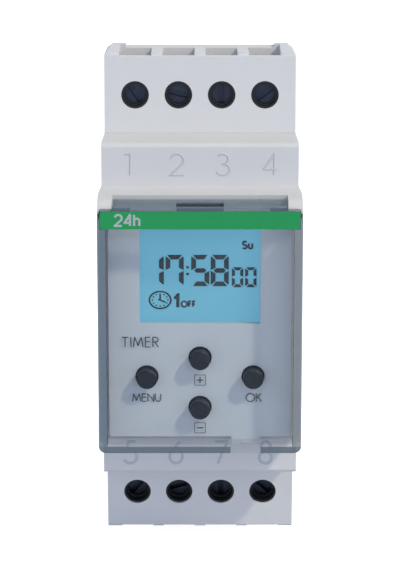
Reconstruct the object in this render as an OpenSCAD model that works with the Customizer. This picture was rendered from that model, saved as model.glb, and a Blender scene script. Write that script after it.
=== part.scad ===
// Two-module programmable timer for a 35 mm DIN rail.
// Origin: centre of the seat that rests on the rail's lips. The rail runs along X,
// the front faces -Y and +Z is up. Depths are measured forwards from the seat.

/* [Case] */
// Width of the nose and the lid, two modules
nose_w = 35; // [34.8:0.1:35.4]
// Width of the numbered steps
step_w = 34; // [33.8:0.1:34.2]
// Width of the base and the terminal blocks
base_w = 33.2; // [33:0.1:33.4]
// Height of the nose that shows through a distribution board's cover
nose_h = 45; // [44.8:0.1:45.4]
// Height across the two numbered steps
step_h = 60.4; // [60.2:0.1:60.8]
// Depth from the rail seat to the lid's face
lid_depth = 60; // [59.9:0.1:60.5]
// Depth from the rail seat to the numbered steps
step_depth = 49; // [48.9:0.1:49.2]
// Depth from the rail seat to the inner edge of the terminal faces
terminal_depth = 42; // [41.9:0.1:42.2]
// Lean of the terminal faces away from the front, in degrees
face_lean = 7.5; // [7:0.25:8]
// Wall thickness of the case
wall = 1.6; // [1.4:0.1:1.8]

/* [Terminals] */
// Spacing of the terminals
pole_pitch = 7.5; // [7.45:0.05:7.5]
// Height of the screw rows above and below the rail's centre line
screw_row = 36.8; // [36.6:0.1:37]
// Diameter of the screwdriver holes
screw_hole_d = 4.8; // [4.6:0.1:5]
// Width of the wire entries
well_w = 5.6; // [5.4:0.1:5.8]
// How far a clamp cage rises from open to shut
cage_travel = 3.2; // [2.4:0.1:3.2]

/* [Rail] */
// Width of the rail over its two lips
rail_w = 35; // [35]
// How far the latch draws back to free the rail
latch_travel = 3.5; // [3:0.1:3.6]

/* [Front] */
// Width of the display window
window_w = 20.8; // [20:0.1:21]
// Height of the display window
window_h = 16.95; // [16:0.05:17]
// Diameter of the button holes
button_hole_d = 4; // [3.8:0.1:4.2]
// Diameter of the button caps
button_cap_d = 3.5; // [3.2:0.1:3.5]
// How far a button goes in
button_travel = 0.5; // [0.3:0.1:0.5]
// Wall thickness of the lid
lid_wall = 1.4; // [1.3:0.1:1.5]

/* [Hidden] */
$fn = 48;
eps = 0.01;
run = 0.05;         // radial clearance of pins and shafts
gap = 0.15;         // clearance between pieces that only lie side by side

// Case
step_z = step_h / 2;
step_r = 0.8;           // rounding of the numbered steps' outer edges
nose_z = nose_h / 2;
nose_depth = 54;        // front of the nose behind the lid
panel_depth = 55.5;     // front of the panel under the lid
panel_x = 15.8;
panel_top = 17.8;
panel_bottom = -20.9;
seat_t = 2.2;           // thickness of the floor behind the rail seat
cavity_x = base_w / 2 - wall;
cavity_z = step_z - wall;

// Terminals
poles = [-1.5, -0.5, 0.5, 1.5] * pole_pitch;
row_depth = terminal_depth - (screw_row - step_z) * tan(face_lean);
block_top = 43.95;      // top of the front lip at the ends of a terminal block
lip_r = 0.7;            // rounding of the front lip, and where its centre lies
lip_z = block_top - lip_r;
lip_depth = terminal_depth - (lip_z - step_z) * tan(face_lean) - lip_r / cos(face_lean);
mouth_top = 43.6;       // top of the front lip across the wire entries
block_rear_depth = 25.5;
block_rear_top = 42.4;
rear_wall_depth = 27.9; // front of the low wall behind the wire entries
rear_wall_top = 42;
end_x = 13.1;           // inner faces of the high ends of a terminal block
corner_cut = 0.3;       // corner chamfer at the front lip, wider towards the rear
corner_lean = 6.9;
head_r = 1.9;
head_depth = 2.4;       // from the terminal face down to the screw head
head_t = 1.2;
shank_r = 1.5;
slot_w = 0.95;
slot_depth = 0.9;
cage_x = 5.8;
cage_wall = 1;
cage_room = 3.5;        // front of the cage's compartment below the terminal face
cage_open = cage_room + 0.2 + cage_travel;
cage_len = 6.5;
cage_out = 2.2;         // how far a cage reaches towards the wire entry
cage_in = 2.6;          // and towards the middle of the device
bar_depth = 8;          // contact bar below the terminal face
bar_t = 0.8;
bar_w = 3.6;
bar_leg_z = 26.6;       // where the bars' legs pass through the main board

// Rail foot
groove = 1.3;           // depth of the grooves that hold the rail's lips
grip = 1.5;             // how far the hook and the latch reach behind a lip
rail_play = 0.15;
pad_z = 13.6;
pad_groove = 0.4;
foot_back = 5;
hook_z = rail_w / 2 + rail_play;
latch_w = 11;
latch_t = 3;
latch_back = groove + latch_t;
latch_tip = -(hook_z - grip);
latch_end = block_top - 90;
spring_r = 1.1;
spring_wire = 0.22;
spring_turns = 6;
spring_top = -24.4;
spring_bottom = -31.4;

// Lid and its hinge
hinge_y = -56.2;
hinge_z = nose_z - 2.2;
ear_r = 2.2;
ear_x = 15;             // inner faces of the ears
barrel_r = 2;
pin_r = 0.75;
pin_head_r = 1.4;
pin_head_t = 0.3;
pin_reach = 3;          // how far a pin goes into the lid's barrel
lid_bottom = -22.3;
lid_floor = 1.1;
lid_corner = 1.2;
lid_shoulder = 21.35;   // top of the lid in front of the ears
lid_tongue = 21.9;      // top of the lid between the ears
band_z = [18.1, 21.3];  // coloured band
band_t = 0.2;
side_window = [19.9, 21.35];

// Front panel, display and buttons
window_z = [16.7 - window_h, 16.7];
catch_x = [5.5, 10.3];
buttons = [["menu", -9.2, -9.8], ["plus", 0, -6.35], ["minus", 0, -15.4], ["ok", 9.2, -9.8]];
cap_depth = 57.4;
flange_depth = 53.95;
flange_t = 0.7;
switch_front = 50.1;
board_t = 1.6;
display_board_front = 46.6;
main_board_front = 14;
lcd_front = 54.05;
lcd_t = 2;
lcd_x = 11.5;
lcd_z = [-1.4, 16.95];
post_x = 11.6;
post_z = [-19.5, 22.5];

case_gray = [0.80, 0.81, 0.83];
panel_gray = [0.74, 0.77, 0.80];
smoke = [0.45, 0.50, 0.56, 0.45];
black = [0.08, 0.08, 0.10];
steel = [0.45, 0.47, 0.52];
tin = [0.75, 0.75, 0.74];
board_green = [0.10, 0.38, 0.22];

// ---------------------------------------------------------------- helpers

// A solid of constant section along X, from an outline of [depth, z] points
module along_x(w, outline) {
    rotate([90, 0, 90])
        linear_extrude(w, center = true)
            polygon([for (p = outline) [-p[0], p[1]]]);
}

// A block between two corners given as [x, depth, z]
module block(a, b) {
    low = [min(a[0], b[0]), -max(a[1], b[1]), min(a[2], b[2])];
    high = [max(a[0], b[0]), -min(a[1], b[1]), max(a[2], b[2])];
    translate(low) cube(high - low);
}

// A round bar along Y, from one depth back to another
module rod(r, x, front, back, z) {
    translate([x, -front, z]) rotate([-90, 0, 0]) cylinder(r = r, h = front - back);
}

// A round bar along X, centred on the middle of the device
module bar_x(r, w, depth, z) {
    translate([-w / 2, -depth, z]) rotate([0, 90, 0]) cylinder(r = r, h = w);
}

// A round bar along X, centred on the lid's hinge
module hinge_rod(r, x0, x1) {
    translate([x0, hinge_y, hinge_z]) rotate([0, 90, 0]) cylinder(r = r, h = x1 - x0);
}

// A rounded rectangle in the XZ plane, extruded between two depths
module tile(x0, x1, z0, z1, r, front, back) {
    translate([0, -back, 0]) rotate([90, 0, 0]) linear_extrude(front - back) {
        for (x = [x0 + r, x1 - r], z = [z0 + r, z1 - r]) translate([x, z]) circle(r);
        translate([x0 + r, z0]) square([x1 - x0 - 2 * r, z1 - z0]);
        translate([x0, z0 + r]) square([x1 - x0, z1 - z0 - 2 * r]);
    }
}

// Terminal frame: Z goes in along the screw, -Y towards the wire entry
module on_pole(x) {
    translate([x, -row_depth, screw_row]) rotate([-90 - face_lean, 0, 0]) children();
}

// The bottom row is the top row turned over
module row(side) {
    if (side > 0) children();
    else mirror([0, 0, 1]) children();
}

// Terminals 1 to 4 run along the top from the left, 5 to 8 along the bottom
function side_of(i) = i <= 4 ? 1 : -1;
function pole_of(i) = poles[(i - 1) % 4];

// ---------------------------------------------------------------- case

module base_shell() {
    color(case_gray) difference() {
        along_x(base_w, [
            [terminal_depth, -step_z], [terminal_depth, step_z], [block_rear_depth - gap, step_z],
            [block_rear_depth - gap, block_rear_top - 0.4], [6, 36.5], [0, 33],
            [-foot_back, 28], [-foot_back, hook_z - 0.4], [-foot_back + 1.2, hook_z - grip],
            [-groove, hook_z - grip], [-groove, hook_z], [0, hook_z],
            [0, -hook_z - 0.1], [-foot_back, -hook_z - 0.1], [-foot_back, -33], [0, -36.5],
            [block_rear_depth - gap, -block_rear_top + 0.4], [block_rear_depth - gap, -step_z]]);
        for (t = [0, 1], s = [0, 1]) mirror([0, 0, t]) mirror([s, 0, 0]) block_corner();
        // room for the boards
        block([-cavity_x, terminal_depth + 1, -cavity_z], [cavity_x, seat_t, cavity_z]);
        along_x(2 * cavity_x, [[block_rear_depth - 1.7, 39.4], [7.5, 34.9], [seat_t, 31.4],
                               [seat_t, -31.4], [7.5, -34.9], [block_rear_depth - 1.7, -39.4]]);
        // slots for the contact bars
        for (x = poles, s = [-1, 1])
            block([x - bar_w / 2 - 0.2, 36, s * (cavity_z - 1)],
                  [x + bar_w / 2 + 0.2, 29, s * (step_z + 1)]);
        // shallow grooves that set off the pad between the rail's lips
        for (z = [-pad_z, pad_z]) block([-base_w, pad_groove, z - 0.5], [base_w, -1, z + 0.5]);
        // channel and spring pocket of the rail latch
        block([-latch_w / 2 - gap, -groove + gap, -hook_z + 1], [latch_w / 2 + gap, -foot_back - 1, -37]);
        for (s = [-1, 1])
            block([s * (latch_w / 2 + 1), -groove - 1, -20], [0, -groove - 2.1, -37]);
        // windows for the front shell's snap hooks
        for (s = [-1, 1], z = [-18, 18])
            block([s * (cavity_x - 1), 38.6, z - 2.5], [s * (base_w / 2 + 1), 36.6, z + 2.5]);
        // cooling slots low on the sides
        for (s = [-1, 1], z = [-9:3:9])
            block([s * (cavity_x - 1), 24, z - 0.5], [s * (base_w / 2 + 1), 16, z + 0.5]);
    }
    // peg that the latch spring pushes against
    color(case_gray)
        block([-0.9, -groove + 0.3, spring_bottom - 1.4], [0.9, -latch_back + 0.4, spring_bottom - 0.03]);
    // posts under the main board
    color(case_gray) for (z = post_z, s = [-1, 1]) difference() {
        rod(2.4, s * post_x, main_board_front - board_t, seat_t - eps, z);
        rod(0.9, s * post_x, main_board_front, 7, z);
    }
}

// One comb of four terminal compartments, drawn as the top one
module terminal_block(side) {
    color(case_gray) row(side) difference() {
        union() {
            along_x(base_w, [
                [terminal_depth, step_z + 0.02],
                [lip_depth + lip_r * cos(face_lean), lip_z + lip_r * sin(face_lean)],
                [lip_depth, block_top],
                [block_rear_depth, block_rear_top], [block_rear_depth, step_z + 0.02]]);
            bar_x(lip_r, base_w, lip_depth, lip_z);
        }
        for (s = [0, 1]) mirror([s, 0, 0]) block_corner();
        // the ribs slope down to the low wall behind the wire entries
        along_x(2 * end_x, [[lip_depth, block_top], [rear_wall_depth, rear_wall_top],
                            [block_rear_depth - 1, rear_wall_top], [block_rear_depth - 1, block_top + 1],
                            [lip_depth, block_top + 1]]);
        for (x = poles) {
            on_pole(x) {
                translate([0, 0, -3]) cylinder(d = screw_hole_d, h = 7);
                // compartment of the clamp cage
                translate([-cage_x / 2 - 0.2, -cage_out - 0.2, cage_room])
                    cube([cage_x + 0.4, cage_out + cage_in + 0.4, 10.2]);
                // wire entry
                translate([-well_w / 2, -7.6, 2.1]) cube([well_w, 4.1, 10.5]);
                translate([-well_w / 2, -7.6, 7.4]) cube([well_w, 7.6, 5.2]);
            }
            // funnel mouth of the wire entry
            translate([x, 0, 0]) along_x(well_w, [
                [lip_depth + 1, block_top + 1], [lip_depth + 1, mouth_top], [lip_depth + 0.5, mouth_top],
                [lip_depth - 2, mouth_top - 1.1], [rear_wall_depth + 0.4, rear_wall_top - 0.5],
                [rear_wall_depth, rear_wall_top], [rear_wall_depth, block_top + 1]]);
            // way through for the contact bar
            block([x - bar_w / 2 - 0.2, 36, step_z - 1], [x + bar_w / 2 + 0.2, 29, screw_row - 2]);
        }
    }
}

// Cutter for the chamfer along the right end of a terminal block
module block_corner() {
    translate([base_w / 2, -lip_depth, block_top - corner_cut])
        rotate([0, -45, 0]) rotate([0, 0, corner_lean]) translate([0, -20, -10]) cube([6, 60, 20]);
}

module front_shell() {
    inner = step_w / 2 - 1.8;
    color(case_gray) difference() {
        union() {
            intersection() {
                // numbered steps, a little narrower where they meet the base
                translate([0, 0, -step_z]) linear_extrude(step_h)
                    polygon([[-base_w / 2, -terminal_depth - 0.02], [-step_w / 2, -step_depth + 1],
                             [-step_w / 2, -step_depth], [step_w / 2, -step_depth],
                             [step_w / 2, -step_depth + 1], [base_w / 2, -terminal_depth - 0.02]]);
                union() {
                    block([-step_w, step_depth, -step_z + step_r],
                          [step_w, terminal_depth, step_z - step_r]);
                    block([-step_w, step_depth - step_r, -step_z], [step_w, terminal_depth, step_z]);
                    for (s = [-1, 1])
                        bar_x(step_r, 2 * step_w, step_depth - step_r, s * (step_z - step_r));
                }
            }
            // nose, a little wider towards the lid
            translate([0, 0, -nose_z]) linear_extrude(nose_h)
                polygon([[-step_w / 2, -step_depth + 1], [-nose_w / 2 + 0.4, -step_depth],
                         [-nose_w / 2, -nose_depth + 1], [-nose_w / 2, -nose_depth],
                         [nose_w / 2, -nose_depth], [nose_w / 2, -nose_depth + 1],
                         [nose_w / 2 - 0.4, -step_depth], [step_w / 2, -step_depth + 1]]);
            // lip that centres the shell in the base
            block([-cavity_x + gap, terminal_depth + 1, -cavity_z + gap],
                  [cavity_x - gap, terminal_depth - 2, cavity_z - gap]);
            // ears that carry the lid
            for (s = [-1, 1]) {
                block([s * ear_x, -hinge_y, hinge_z - ear_r], [s * nose_w / 2, nose_depth - 1, nose_z]);
                hinge_rod(ear_r, s > 0 ? ear_x : -nose_w / 2, s > 0 ? nose_w / 2 : -ear_x);
            }
        }
        // inside
        block([-inner, step_depth - 1.6, -cavity_z + 1.2],
              [inner, terminal_depth + 0.01, cavity_z - 1.2]);
        block([-cavity_x + 1.4, terminal_depth + 1.1, -cavity_z + 1.4],
              [cavity_x - 1.4, terminal_depth - 4, cavity_z - 1.4]);
        block([-inner, nose_depth - 1.5, -nose_z + 1.8], [inner, step_depth - 2, nose_z - 1.8]);
        // hollow under the nose, between the sides of the lid
        block([-nose_w / 2 + lid_wall, nose_depth + 1, -nose_z - 1],
              [nose_w / 2 - lid_wall, step_depth, -nose_z + 0.6]);
        // opening behind the front panel
        block([-14.6, nose_depth + 1, -19.6], [14.6, nose_depth - 2, 17.2]);
        // pin holes, with a seat for each pin's head that shows beside the lid
        for (s = [-1, 1]) {
            hinge_rod(pin_r + run, s > 0 ? ear_x - 1 : -nose_w / 2 - 1,
                      s > 0 ? nose_w / 2 + 1 : -ear_x + 1);
            hinge_rod(pin_head_r + 0.1, s > 0 ? nose_w / 2 - pin_head_t - run : -nose_w / 2 - 1,
                      s > 0 ? nose_w / 2 + 1 : -nose_w / 2 + pin_head_t + run);
            block([s * (nose_w / 2 - 0.35), -hinge_y + 3, side_window[0] - 1],
                  [s * (nose_w / 2 + 1), -hinge_y, side_window[1] - 0.9]);
        }
    }
    // snap hooks in the base's windows
    color(case_gray) for (s = [-1, 1], z = [-18, 18]) {
        x0 = cavity_x - 1.35;
        x1 = cavity_x - gap;
        translate([0, 0, z - 2]) linear_extrude(4)
            polygon([for (p = [[x0, -40.5], [x1, -40.5], [x1, -38.5], [x1 + 0.9, -38.4], [x1 + 0.9, -38],
                               [x1, -36.8], [x0, -36.8]]) [s * p[0], p[1]]]);
    }
}

module front_panel() {
    color(panel_gray) difference() {
        union() {
            tile(-panel_x, panel_x, panel_bottom, panel_top, 0.5, panel_depth, nose_depth + 0.02);
            // tongue that the lid snaps over
            block([catch_x[0], panel_depth, panel_bottom + 1],
                  [catch_x[1], nose_depth + 0.02, lid_bottom]);
            // spigot in the nose's opening
            block([-14.5, nose_depth + 0.5, -19.5], [14.5, nose_depth - 0.5, 17.1]);
        }
        block([-window_w / 2, panel_depth + 1, window_z[0]], [window_w / 2, nose_depth - 1, window_z[1]]);
        // recess behind the window for the glass
        block([-lcd_x - 0.2, panel_depth - 1.2, lcd_z[0] - 0.2],
              [lcd_x + 0.2, nose_depth - 2, lcd_z[1] + 0.3]);
        for (b = buttons) {
            rod(button_hole_d / 2, b[1], panel_depth + 1, nose_depth - 2, b[2]);
            rod(2.7, b[1], nose_depth, nose_depth - 2, b[2]);
        }
    }
    // rib that the lid's floor snaps behind
    color(panel_gray)
        block([catch_x[0] + 1.7, panel_depth + 0.25, -21.9],
              [catch_x[0] + 3.1, panel_depth - 0.1, -22.1]);
}

module display_window() {
    color([0.75, 0.88, 0.95, 0.4])
        tile(-window_w / 2 + 0.05, window_w / 2 - 0.05, window_z[0] + 0.05, window_z[1] - 0.05, 0.2,
             panel_depth - 0.3, panel_depth - 1);
}

// ---------------------------------------------------------------- lid

module lid() {
    x = nose_w / 2;
    back = nose_depth + 0.2;
    plate_back = lid_depth - lid_wall;
    color(smoke) difference() {
        union() {
            // rounded tray below the ears
            tile(-x, x, lid_bottom, hinge_z - ear_r - 0.3, lid_corner, lid_depth, back);
            // face in front of the ears, and its tongue between them
            tile(-x, x, 0, lid_shoulder, lid_corner / 2, lid_depth, plate_back);
            block([-ear_x + gap, lid_depth, 0], [ear_x - gap, plate_back, lid_tongue]);
            block([-ear_x + gap, lid_depth, hinge_z - 0.3], [ear_x - gap, -hinge_y, hinge_z + 1.2]);
            hinge_rod(barrel_r, -ear_x + gap, ear_x - gap);
        }
        // inside of the tray
        block([-x + lid_wall, plate_back, lid_bottom + lid_floor],
              [x - lid_wall, back - 1, hinge_z - ear_r]);
        // recess of the coloured band
        block([-x + 0.4, lid_depth + 1, band_z[0]], [x - 0.4, lid_depth - band_t, band_z[1]]);
        // side notches in front of the hinge pins
        for (s = [-1, 1])
            block([s * (x - 0.35), lid_depth + 1, side_window[0]],
                  [s * (x + 1), plate_back - 1, side_window[1] + 1]);
        // finger slot in the top
        block([-4, lid_depth - 0.8, hinge_z + 0.3], [4, -hinge_y + 0.8, lid_tongue + 1]);
        // notch for the panel's tongue
        block([catch_x[0] - 0.2, panel_depth + 0.4, lid_bottom - 1],
              [catch_x[1] + 0.2, back - 1, lid_bottom + 2]);
        // bores of the two pins
        for (s = [-1, 1])
            hinge_rod(pin_r + run, s > 0 ? ear_x - gap - pin_reach : -ear_x,
                      s > 0 ? ear_x : -ear_x + gap + pin_reach);
    }
}

module color_band() {
    x = nose_w / 2 - 0.45;
    color([0.16, 0.58, 0.34])
        tile(-x, x, band_z[0] + 0.02, band_z[1] - 0.02, 0.5, lid_depth - 0.03, lid_depth - band_t + 0.01);
}

module hinge_pins() {
    color(black) for (s = [-1, 1]) {
        x0 = ear_x - gap - pin_reach + 0.2;
        x1 = nose_w / 2;
        hinge_rod(pin_r, s > 0 ? x0 : -x1, s > 0 ? x1 : -x0);
        hinge_rod(pin_head_r, s > 0 ? x1 - pin_head_t : -x1, s > 0 ? x1 : -x1 + pin_head_t);
    }
}

// ---------------------------------------------------------------- terminals

module terminal_screw(i) {
    // way the slot was left when the screw was last turned
    slot = [55, 13, 90, -38, 50, 17, 90, -42][i - 1];
    tip = bar_depth - run;
    color(steel) row(side_of(i)) on_pole(pole_of(i)) difference() {
        union() {
            translate([0, 0, head_depth + 0.2]) cylinder(r = head_r, h = head_t - 0.2);
            translate([0, 0, head_depth]) cylinder(r1 = head_r - 0.2, r2 = head_r, h = 0.2 + eps);
            translate([0, 0, head_depth + head_t - eps])
                cylinder(r = shank_r, h = tip - head_depth - head_t);
        }
        rotate(slot) translate([-head_r - 1, -slot_w / 2, head_depth - 1])
            cube([2 * head_r + 2, slot_w, 1 + slot_depth]);
    }
}

module clamp_cage(i) {
    color(tin) row(side_of(i)) on_pole(pole_of(i)) translate([0, 0, cage_open]) difference() {
        translate([-cage_x / 2, -cage_out, 0]) cube([cage_x, cage_out + cage_in, cage_len]);
        translate([-cage_x / 2 + 0.8, -cage_out - 1, cage_wall])
            cube([cage_x - 1.6, cage_out + cage_in + 2, cage_len - 2 * cage_wall]);
        translate([0, 0, -1]) cylinder(r = shank_r + run, h = cage_wall + 2);
        // serrations that grip the wire
        for (u = [-1.6:0.8:2])
            translate([0, u, cage_len - cage_wall]) rotate([45, 0, 0])
                cube([cage_x - 1.8, 0.3, 0.3], center = true);
    }
}

// Black tubes in the screwdriver holes, each with a lip that keeps its screw in
module screw_guides(side) {
    lip = 1.7;
    color(black) row(side) for (x = poles) on_pole(x) difference() {
        translate([0, 0, 0.3]) cylinder(d = screw_hole_d - 0.04, h = 3.2);
        translate([0, 0, 0.2]) cylinder(r = lip, h = 4);
        translate([0, 0, 0.2]) cylinder(r = lip + 0.35, h = 1.4);
        translate([0, 0, head_depth - 0.1]) cylinder(r = head_r + run, h = 3);
    }
}

module contact_bars(side) {
    leg_back = main_board_front - board_t - 1.2;
    color(tin) row(side) for (x = poles) {
        // blade in the cage, tilted with the terminal
        on_pole(x) translate([-bar_w / 2, -cage_out + 0.2, bar_depth]) cube([bar_w, cage_out + 5, bar_t]);
        // step down to the leg, then the leg to the main board
        block([x - bar_w / 2, 34.3, bar_leg_z - 0.4], [x + bar_w / 2, 33.5, 32.2]);
        block([x - 0.6, 33.6, bar_leg_z - 0.4], [x + 0.6, leg_back, bar_leg_z + 0.4]);
    }
}

// ---------------------------------------------------------------- rail latch

module rail_latch() {
    tip_back = -groove - 1.2;
    color(black) difference() {
        union() {
            along_x(latch_w, [[-groove, latch_tip], [tip_back, latch_tip], [-latch_back, latch_tip - 2],
                              [-latch_back, latch_end], [-groove, latch_end]]);
            // guide ribs
            block([-latch_w / 2 - 0.8, -groove - 1.15, -21 - latch_travel],
                  [latch_w / 2 + 0.8, -groove - 1.95, -34]);
        }
        // spring slot
        block([-spring_r - 0.2, -groove + 1, spring_top + 0.05],
              [spring_r + 0.2, -latch_back - 1, spring_bottom - 1.6]);
        // screwdriver slot in the pull tab
        block([-2.5, -groove + 1, latch_end + 3.2], [2.5, -latch_back - 1, latch_end + 1.8]);
    }
}

module latch_spring() {
    rise = spring_top - spring_bottom;
    y = groove + latch_t / 2;
    color(steel) translate([0, y, spring_bottom]) {
        for (k = [0:spring_turns])
            translate([0, 0, spring_wire + k * (rise - 2 * spring_wire) / spring_turns])
                rotate_extrude($fn = 24)
                    translate([spring_r - spring_wire, 0]) circle(spring_wire, $fn = 16);
        for (k = [0:spring_turns - 1])
            translate([spring_r - spring_wire, 0, spring_wire + k * (rise - 2 * spring_wire) / spring_turns])
                cylinder(r = spring_wire * 0.8, h = (rise - 2 * spring_wire) / spring_turns, $fn = 16);
    }
}

// ---------------------------------------------------------------- boards and parts inside

module main_board() {
    color(board_green) difference() {
        block([-cavity_x + 0.3, main_board_front, -cavity_z + 0.4],
              [cavity_x - 0.3, main_board_front - board_t, cavity_z - 0.4]);
        for (z = post_z, s = [-1, 1]) rod(1.1, s * post_x, main_board_front + 1, 10, z);
        for (x = poles, s = [-1, 1])
            block([x - 0.75, main_board_front + 1, s * (bar_leg_z - 0.55)],
                  [x + 0.75, 10, s * (bar_leg_z + 0.55)]);
    }
}

module board_screws() {
    color(steel) for (z = post_z, s = [-1, 1]) difference() {
        union() {
            rod(1.7, s * post_x, main_board_front + 1.3, main_board_front + 0.02, z);
            rod(0.85, s * post_x, main_board_front + 0.1, 8, z);
        }
        block([s * post_x - 2, main_board_front + 2, z - 0.2],
              [s * post_x + 2, main_board_front + 0.8, z + 0.2]);
        block([s * post_x - 0.2, main_board_front + 2, z - 2],
              [s * post_x + 0.2, main_board_front + 0.8, z + 2]);
    }
}

module relay() {
    color([0.12, 0.25, 0.55]) {
        block([-9.3, main_board_front + 16, -14], [0.4, main_board_front + 0.4, 15]);
        block([-9, main_board_front + 0.4, -13.6], [0.1, main_board_front + 0.02, 14.6]);
    }
}

module film_capacitor() {
    color([0.80, 0.72, 0.25]) tile(2.2, 8.8, -1, 17, 0.6, main_board_front + 12.5, main_board_front + 0.02);
}

module electrolytic_capacitor() {
    color([0.10, 0.12, 0.20]) difference() {
        rod(3.9, 5.8, main_board_front + 13, main_board_front + 0.02, -7);
        rotate([90, 0, 0]) translate([5.8, -7, main_board_front + 2])
            rotate_extrude() translate([4.25, 0]) circle(0.5);
    }
}

module varistor() {
    color([0.15, 0.35, 0.65]) translate([10.6, 0, -9]) rotate([90, 0, 90]) {
        translate([-main_board_front - 5.6, 0, 0]) cylinder(r = 4.4, h = 2.6);
        translate([-main_board_front - 5.6, -2.6, 1]) cube([5.58, 0.6, 0.6]);
        translate([-main_board_front - 5.6, 2, 1]) cube([5.58, 0.6, 0.6]);
    }
}

module rectifier_diodes() {
    color(black) for (x = [-3.4, -0.4], z = [-20.5, -25])
        translate([x, -main_board_front - 1.4, z]) {
            cylinder(r = 1.1, h = 3);
            translate([-0.3, 0, 0.2]) cube([0.6, 1.38, 0.5]);
            translate([-0.3, 0, 2.3]) cube([0.6, 1.38, 0.5]);
        }
}

// Row of long pins between the two boards, in a plastic strip at each end
module board_link() {
    top = display_board_front - board_t;
    color(black) for (d = [main_board_front + 0.02, top - 2.52])
        block([-13.6, d, -15], [-11.1, d + 2.5, 15]);
    color(tin) for (k = [0:7])
        block([-12.6, top - 0.02, -13.2 + k * 3.6], [-12.1, main_board_front + 0.02, -12.7 + k * 3.6]);
}

module display_board() {
    color(board_green)
        block([-14.3, display_board_front, -20.4], [14.3, display_board_front - board_t, 20.4]);
}

module controller_chip() {
    back = display_board_front - board_t - 0.02;
    color(black) block([-9.6, back, -17], [-2.6, back - 1.4, -10]);
    color(tin) for (k = [0:8], s = [-1, 1])
        block([-6.1 + s * 3.5, back, -16.6 + k * 0.8], [-6.1 + s * 4.3, back - 0.5, -16.3 + k * 0.8]);
}

module crystal() {
    color(tin) translate([1.5, -display_board_front + board_t + 1.05, -18]) {
        cylinder(r = 1, h = 6.2);
        translate([-0.7, -0.6, -1.6]) cube([0.35, 0.35, 1.7]);
        translate([0.35, -0.6, -1.6]) cube([0.35, 0.35, 1.7]);
    }
}

module coin_cell() {
    color(tin) {
        rod(8, 4.4, 43.6, 40.6, 8);
        rod(7, 4.4, 40.65, 40.2, 8);
    }
}

module cell_holder() {
    front = display_board_front - board_t - 0.02;
    color(black) difference() {
        block([-4.6, front, -1], [13.4, 41, 17]);
        rod(8.1, 4.4, 43.7, 30, 8);
        block([-2, 43, 12], [10.8, 40, 20]);
    }
}

module lcd_glass() {
    color([0.45, 0.68, 0.78])
        block([-lcd_x, lcd_front, lcd_z[0]], [lcd_x, lcd_front - lcd_t, lcd_z[1]]);
}

module lcd_backlight() {
    front = lcd_front - lcd_t - 0.02;
    color([0.55, 0.80, 0.90]) block([-10.9, front, 1.2], [10.9, front - 3, 14.4]);
}

module contact_strips() {
    color([0.55, 0.35, 0.55]) for (z = [-0.6, 15.2])
        block([-10.4, lcd_front - lcd_t - 0.02, z], [10.4, display_board_front + 0.02, z + 1.2]);
}

module lcd_frame() {
    color([0.92, 0.92, 0.90]) difference() {
        block([-12.4, lcd_front - lcd_t - 0.02, -1.8], [12.4, display_board_front + 0.02, 17.6]);
        block([-10.95, lcd_front, 1.1], [10.95, display_board_front - 1, 14.5]);
        for (z = [-0.7, 15.1]) block([-10.5, lcd_front, z], [10.5, display_board_front - 1, z + 1.4]);
    }
}

module tact_switches() {
    for (b = buttons) {
        color(black) difference() {
            block([b[1] - 3, switch_front - 0.4, b[2] - 3],
                  [b[1] + 3, display_board_front + 0.02, b[2] + 3]);
            rod(1.15, b[1], switch_front + 1, display_board_front + 0.6, b[2]);
        }
        color(tin) difference() {
            block([b[1] - 3, switch_front, b[2] - 3], [b[1] + 3, switch_front - 0.4, b[2] + 3]);
            rod(1.15, b[1], switch_front + 1, display_board_front, b[2]);
        }
    }
}

module button(k) {
    b = buttons[k];
    color(black) {
        rod(button_cap_d / 2, b[1], cap_depth - 0.2, flange_depth - eps, b[2]);
        translate([b[1], -cap_depth, b[2]]) rotate([-90, 0, 0])
            cylinder(r1 = button_cap_d / 2 - 0.2, r2 = button_cap_d / 2, h = 0.2 + eps);
        rod(2.5, b[1], flange_depth, flange_depth - flange_t, b[2]);
        rod(1.2, b[1], flange_depth - flange_t + eps, switch_front + 0.65, b[2]);
    }
}

module plunger(k) {
    b = buttons[k];
    color([0.9, 0.9, 0.88])
        rod(1.1, b[1], switch_front + 0.6, display_board_front + 0.6 + button_travel + 0.1, b[2]);
}

// ---------------------------------------------------------------- drawing

base_shell();
terminal_block(1);  // terminal_block_top
terminal_block(-1);  // terminal_block_bottom
front_shell();
front_panel();
display_window();
lid();
color_band();
hinge_pins();
rail_latch();
latch_spring();
screw_guides(1);  // screw_guides_top
screw_guides(-1);  // screw_guides_bottom
contact_bars(1);  // contact_bars_top
contact_bars(-1);  // contact_bars_bottom
main_board();
board_screws();
relay();
film_capacitor();
electrolytic_capacitor();
varistor();
rectifier_diodes();
board_link();
display_board();
controller_chip();
crystal();
coin_cell();
cell_holder();
lcd_glass();
lcd_backlight();
contact_strips();
lcd_frame();
tact_switches();
for (k = [0:3]) button(k);
for (k = [0:3]) plunger(k);
for (i = [1:8]) terminal_screw(i);
for (i = [1:8]) clamp_cage(i);
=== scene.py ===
import math

import bpy
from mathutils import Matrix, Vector


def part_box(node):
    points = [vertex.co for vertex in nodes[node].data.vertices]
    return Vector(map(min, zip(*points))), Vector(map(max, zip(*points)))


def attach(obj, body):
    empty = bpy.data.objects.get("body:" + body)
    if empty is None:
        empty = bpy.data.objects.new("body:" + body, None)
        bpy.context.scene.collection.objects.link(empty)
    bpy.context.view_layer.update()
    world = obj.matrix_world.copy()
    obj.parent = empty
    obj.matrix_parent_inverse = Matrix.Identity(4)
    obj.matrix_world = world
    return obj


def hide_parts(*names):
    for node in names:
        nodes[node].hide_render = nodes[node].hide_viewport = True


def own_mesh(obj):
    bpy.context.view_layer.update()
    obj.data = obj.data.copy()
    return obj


# Looks of a two-module DIN rail timer. Metres, +Z up, the front faces -Y.
# Lengths below are written in millimetres and turned into metres by MM.

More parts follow.
